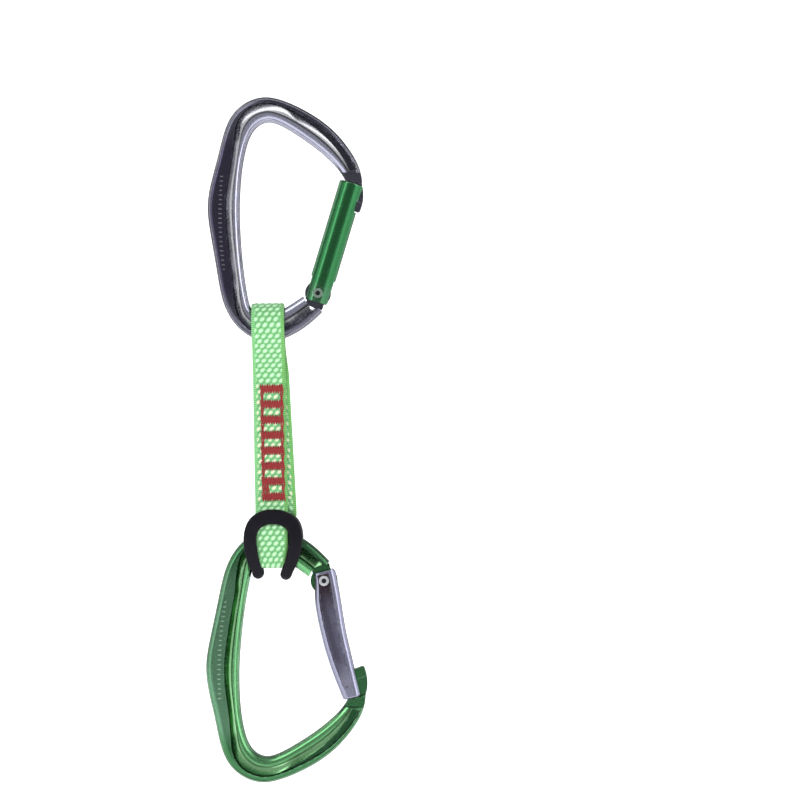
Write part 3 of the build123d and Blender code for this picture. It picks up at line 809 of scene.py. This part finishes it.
def thread(work, layer, points, radius, phase):
    """A round thread through points, with closed ends, added to a mesh under construction."""
    p = np.asarray(points, float)
    t = np.gradient(p, axis=0)
    t /= np.linalg.norm(t, axis=1)[:, None]
    rings = []
    for k, (centre, along) in enumerate(zip(p, t)):
        one, two = across_axes(along)
        size = radius * (THREAD_END if k in (0, len(p) - 1) else 1.0)
        ring = []
        for s in range(THREAD_SIDES):
            a = 2 * math.pi * s / THREAD_SIDES
            spot = centre + size * (math.cos(a) * one + math.sin(a) * two)
            ring.append(work.verts.new(sling([spot])[0]))
        rings.append(ring)
    for k in range(len(rings) - 1):
        for s in range(THREAD_SIDES):
            corners = ((k, s), (k, s + 1), (k + 1, s + 1), (k + 1, s))
            face = work.faces.new([rings[i][j % THREAD_SIDES] for i, j in corners])
            for loop, (i, j) in zip(face.loops, corners):
                loop[layer].uv = (j / THREAD_SIDES + phase, i * 0.5)
    work.faces.new(rings[0][::-1])
    work.faces.new(rings[-1])


TACK_CENTRE = 0.95
TACK_HALF = 4.75
TACK_REACH = 1.95
TACK_STITCHES = 19
BAR_ARCH = 0.42
CORE_LIFT = 0.16
CORE_HEIGHTS = (0.8, 0.0, -0.8)
CORE_RADIUS = 0.34
STITCH_RADIUS = 0.29
LINK_RADIUS = 0.3


def tack_threads(work, layer, height, front):
    """One bar: close zigzag stitches over a few lengthwise ones."""
    side = -1 if front else 1
    face = STRAND_OUT + HALF_THICK + 0.03
    for z in CORE_HEIGHTS:
        x = np.linspace(-TACK_HALF + 0.2, TACK_HALF - 0.2, 9)
        core = [(TACK_CENTRE + a, side * (face + CORE_LIFT), height + z) for a in x]
        thread(work, layer, core, CORE_RADIUS, draw.random())
    for i in range(TACK_STITCHES):
        x = TACK_CENTRE - TACK_HALF + 0.3 + (2 * TACK_HALF - 0.6) * i / (TACK_STITCHES - 1)
        x += draw.uniform(-0.05, 0.05)
        lean = 0.26 if i % 2 else -0.26
        top = TACK_REACH + draw.uniform(-0.16, 0.14)
        low = TACK_REACH + draw.uniform(-0.14, 0.16)
        high = BAR_ARCH + draw.uniform(-0.03, 0.05)
        arch = []
        for s in np.linspace(-1, 1, 9):
            up = high * (1 - abs(s) ** 3.2) - 0.5 * max(0.0, abs(s) - 0.86) / 0.14
            z = height + (top if s > 0 else low) * s
            arch.append((x + lean * s, side * (face + up), z))
        thread(work, layer, arch, STITCH_RADIUS, draw.random())


def link_threads(work, layer, high, low, front, heavy):
    """The stitches that run from one bar to the next, down both of its ends."""
    side = -1 if front else 1
    face = STRAND_OUT + HALF_THICK + 0.06
    spots = [
        (-TACK_HALF + 0.45, 0.25), (-TACK_HALF + 1.0, -0.2),
        (TACK_HALF - 0.5, -0.25), (TACK_HALF - 1.05, 0.2),
    ]
    if heavy:
        spots += [(-TACK_HALF + 1.6 + 0.55 * k, 0.18 * (-1) ** k) for k in range(3)]
    for x, lean in spots:
        points = []
        for s in np.linspace(0, 1, 7):
            z = high + (low - high) * s
            up = 0.26 * math.sin(math.pi * s) ** 0.5 - 0.1
            points.append((TACK_CENTRE + x + lean * (2 * s - 1), side * (face + up), z))
        thread(work, layer, points, LINK_RADIUS, draw.random())


LINK_INSET = 1.1
HEAVY_FROM = 6


def stitching(name, bars, links):
    """The bars and links with these numbers, on both faces, as one piece."""
    work = bmesh.new()
    layer = work.loops.layers.uv.new("thread")
    for front in (True, False):
        for number in bars:
            tack_threads(work, layer, TACK_FIRST - TACK_PITCH * number, front)
        for number in links:
            high = TACK_FIRST - TACK_PITCH * number - LINK_INSET
            low = high - TACK_PITCH + 2 * LINK_INSET
            link_threads(work, layer, high, low, front, number >= HEAVY_FROM)
    mesh = bpy.data.meshes.new(name)
    work.to_mesh(mesh)
    work.free()
    mesh.polygons.foreach_set("use_smooth", [True] * len(mesh.polygons))
    obj = bpy.data.objects.new(name, mesh)
    bpy.context.collection.objects.link(obj)
    outward(obj)
    return obj


def thread_material():
    m = Nodes("thread_red")
    uv = m.node("ShaderNodeUVMap", uv_map="thread").outputs[0]
    u, v, _ = m.parts(uv)
    ply = m.math("SINE", m.product(m.math("ADD", u, m.product(v, 0.8)), 4 * math.pi))
    colour = m.mix(m.ramp(ply, -0.6, 0.8), srgb(92, 8, 12), srgb(172, 28, 28))
    colour = m.mix(m.scale(m.noise(m.place(), 700, 3), 0, 0.4), colour, srgb(118, 12, 16))
    return m.finish(
        Base_Color=colour, Roughness=0.55, Normal=m.bump(ply, 0.5, 0.00012),
        Specular_IOR_Level=0.35, Sheen_Weight=0.2,
    )


THREAD = thread_material()
thread_top = stitching("stitching_first", [0], [])
thread_middle = stitching("stitching_middle", range(1, TACK_COUNT - 1), range(TACK_COUNT - 1))
thread_bottom = stitching("stitching_last", [TACK_COUNT - 1], [])
for piece in (thread_top, thread_middle, thread_bottom):
    piece.data.materials.append(THREAD)
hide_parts("bar_tack_1")
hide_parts(*[f"bar_tack_{number}" for number in range(2, TACK_COUNT)])
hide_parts(f"bar_tack_{TACK_COUNT}")
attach(thread_top, "upper_strap")
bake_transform(thread_middle)
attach(thread_bottom, "lower_strap")


# ---------------------------------------------------------------- rubber keeper
KEEPER_VOXEL = 0.0005
KEEPER_SMOOTHING = 12


def keeper_piece():
    """The keeper's solid with all of its corners moulded round."""
    source = NODES["keeper"]
    mesh = source.data.copy()
    mesh.materials.clear()
    obj = bpy.data.objects.new("keeper_rubber", mesh)
    bpy.context.collection.objects.link(obj)
    remesh = obj.modifiers.new("remesh", "REMESH")
    remesh.mode = "VOXEL"
    remesh.voxel_size = KEEPER_VOXEL
    smooth = obj.modifiers.new("smooth", "SMOOTH")
    smooth.factor = 0.5
    smooth.iterations = KEEPER_SMOOTHING
    graph = bpy.context.evaluated_depsgraph_get()
    final = bpy.data.meshes.new_from_object(obj.evaluated_get(graph))
    obj.modifiers.clear()
    obj.data = final
    obj.data.name = "keeper_rubber"
    final.polygons.foreach_set("use_smooth", [True] * len(final.polygons))
    return obj


def rubber_material():
    m = Nodes("keeper_rubber")
    place = m.stretched(m.place(), (1 / MM,) * 3)
    mould = m.noise(place, 3.5, 4)
    cloud = m.noise(place, 0.25, 3)
    colour = m.mix(cloud, srgb(8, 8, 12), srgb(22, 20, 28))
    dust = m.ramp(m.noise(place, 0.9, 5, 0.7), 0.6, 0.78)
    colour = m.mix(m.product(dust, 0.25), colour, srgb(40, 38, 50))
    return m.finish(
        Base_Color=colour, Roughness=m.scale(cloud, 0.38, 0.58),
        Normal=m.bump(mould, 0.2, 0.00008), Specular_IOR_Level=0.1,
    )


keeper = keeper_piece()
keeper.data.materials.clear()
keeper.data.materials.append(rubber_material())
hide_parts("keeper")
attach(keeper, "lower_carabiner")


# ---------------------------------------------------------------- studio
low, high = cad_box
BOWL_DROP = 0.12
BOWL_FLAT = 1.0
BOWL_RADIUS = 2.6
BOWL_WALL = 1.5
BOWL_STEPS = 16
BOWL_TURNS = 72


def studio_bowl():
    """A floor that sweeps up into a low wall all round."""
    profile = [(0.0, 0.0), (BOWL_FLAT * 0.5, 0.0), (BOWL_FLAT, 0.0)]
    for k in range(1, BOWL_STEPS + 1):
        a = math.pi / 2 * k / BOWL_STEPS
        bend = BOWL_RADIUS - BOWL_FLAT
        profile.append((BOWL_FLAT + bend * math.sin(a), BOWL_WALL * (1 - math.cos(a))))
    work = bmesh.new()
    rings = []
    floor_z = low.z - BOWL_DROP
    for r, z in profile:
        if r == 0:
            rings.append([work.verts.new((0, 0, floor_z))] * BOWL_TURNS)
            continue
        ring = []
        for k in range(BOWL_TURNS):
            a = 2 * math.pi * k / BOWL_TURNS
            ring.append(work.verts.new((r * math.cos(a), r * math.sin(a), floor_z + z)))
        rings.append(ring)
    for a, b in zip(rings, rings[1:]):
        for k in range(BOWL_TURNS):
            n = (k + 1) % BOWL_TURNS
            corners = [a[k], b[k], b[n], a[n]] if a[0] is not a[1] else [a[k], b[k], b[n]]
            work.faces.new(corners)
    mesh = bpy.data.meshes.new("studio_floor")
    work.to_mesh(mesh)
    work.free()
    mesh.polygons.foreach_set("use_smooth", [True] * len(mesh.polygons))
    obj = bpy.data.objects.new("studio_floor", mesh)
    bpy.context.collection.objects.link(obj)
    m = Nodes("studio_pale")
    grain = m.noise(m.place(), 3.0, 2)
    shade = m.mix(m.scale(grain, 0.0, 0.03), (0.93, 0.93, 0.93, 1), (0.86, 0.87, 0.88, 1))
    obj.data.materials.append(
        m.finish(Base_Color=shade, Roughness=0.9, Specular_IOR_Level=0.1,
                 Emission_Color=(1, 1, 1, 1), Emission_Strength=0.55)
    )
    return obj


studio_bowl()


def flag(name, y, width, height, shade):
    """A grey card that only reflections see, so that the metal has something to mirror."""
    centre = (low + high) / 2
    corners = [
        (centre.x + across * width / 2, y, centre.z + up * height / 2)
        for across, up in ((-1, -1), (1, -1), (1, 1), (-1, 1))
    ]
    mesh = bpy.data.meshes.new(name)
    mesh.from_pydata(corners, [], [(0, 1, 2, 3)])
    obj = bpy.data.objects.new(name, mesh)
    bpy.context.collection.objects.link(obj)
    m = Nodes(name)
    cloud = m.scale(m.noise(m.place(), 1.5, 2), shade * 0.7, shade * 1.3)
    grey = m.node("ShaderNodeCombineColor")
    for socket in grey.inputs[:3]:
        m.put(socket, cloud)
    glow = m.node("ShaderNodeEmission")
    m.put(glow.inputs["Color"], grey.outputs[0])
    output = m.node("ShaderNodeOutputMaterial")
    m.tree.links.new(glow.outputs[0], output.inputs[0])
    mesh.materials.append(m.material)
    obj.visible_camera = False
    obj.visible_diffuse = False
    obj.visible_shadow = False
    obj.visible_transmission = False


flag("flag_front", -1.1, 1.9, 1.5, 0.45)
flag("flag_back", 1.1, 2.3, 2.0, 0.3)

world = bpy.data.worlds.new("studio")
bpy.context.scene.world = world
world.use_nodes = True
world.node_tree.nodes["Background"].inputs["Color"].default_value = (0.86, 0.9, 1.0, 1)
world.node_tree.nodes["Background"].inputs["Strength"].default_value = 0.35


def softbox(name, place, target, size, power):
    """A rectangular light aimed at target."""
    light = bpy.data.lights.new(name, "AREA")
    light.shape = "RECTANGLE"
    light.size, light.size_y = size
    light.energy = power
    obj = bpy.data.objects.new(name, light)
    bpy.context.collection.objects.link(obj)
    obj.location = place
    aim = Vector(target) - Vector(place)
    obj.rotation_mode = "QUATERNION"
    obj.rotation_quaternion = aim.to_track_quat("-Z", "Y")


middle_of_object = (low + high) / 2
softbox("key", (-1.0, -1.2, 0.9), middle_of_object, (0.9, 1.6), 17)
softbox("fill", (1.3, -0.9, 0.3), middle_of_object, (0.7, 1.6), 9)
softbox("top", (0.0, 0.2, 1.3), middle_of_object, (1.2, 0.6), 8)
softbox("back_left", (-1.0, 1.2, 0.6), middle_of_object, (0.5, 1.0), 7)
softbox("back_right", (1.0, 1.2, 0.2), middle_of_object, (0.4, 1.0), 5)

CAMERA_PLACE = (0.0533, -1.5, -0.1139)
CAMERA_LENS = 164.7
camera_data = bpy.data.cameras.new("camera")
camera_data.sensor_width = 36
camera_data.lens = CAMERA_LENS
camera_data.clip_start = 0.01
camera = bpy.data.objects.new("camera", camera_data)
bpy.context.collection.objects.link(camera)
camera.location = CAMERA_PLACE
camera.rotation_euler = (math.pi / 2, 0, 0)
bpy.context.scene.camera = camera
bpy.context.scene.view_settings.view_transform = "Standard"
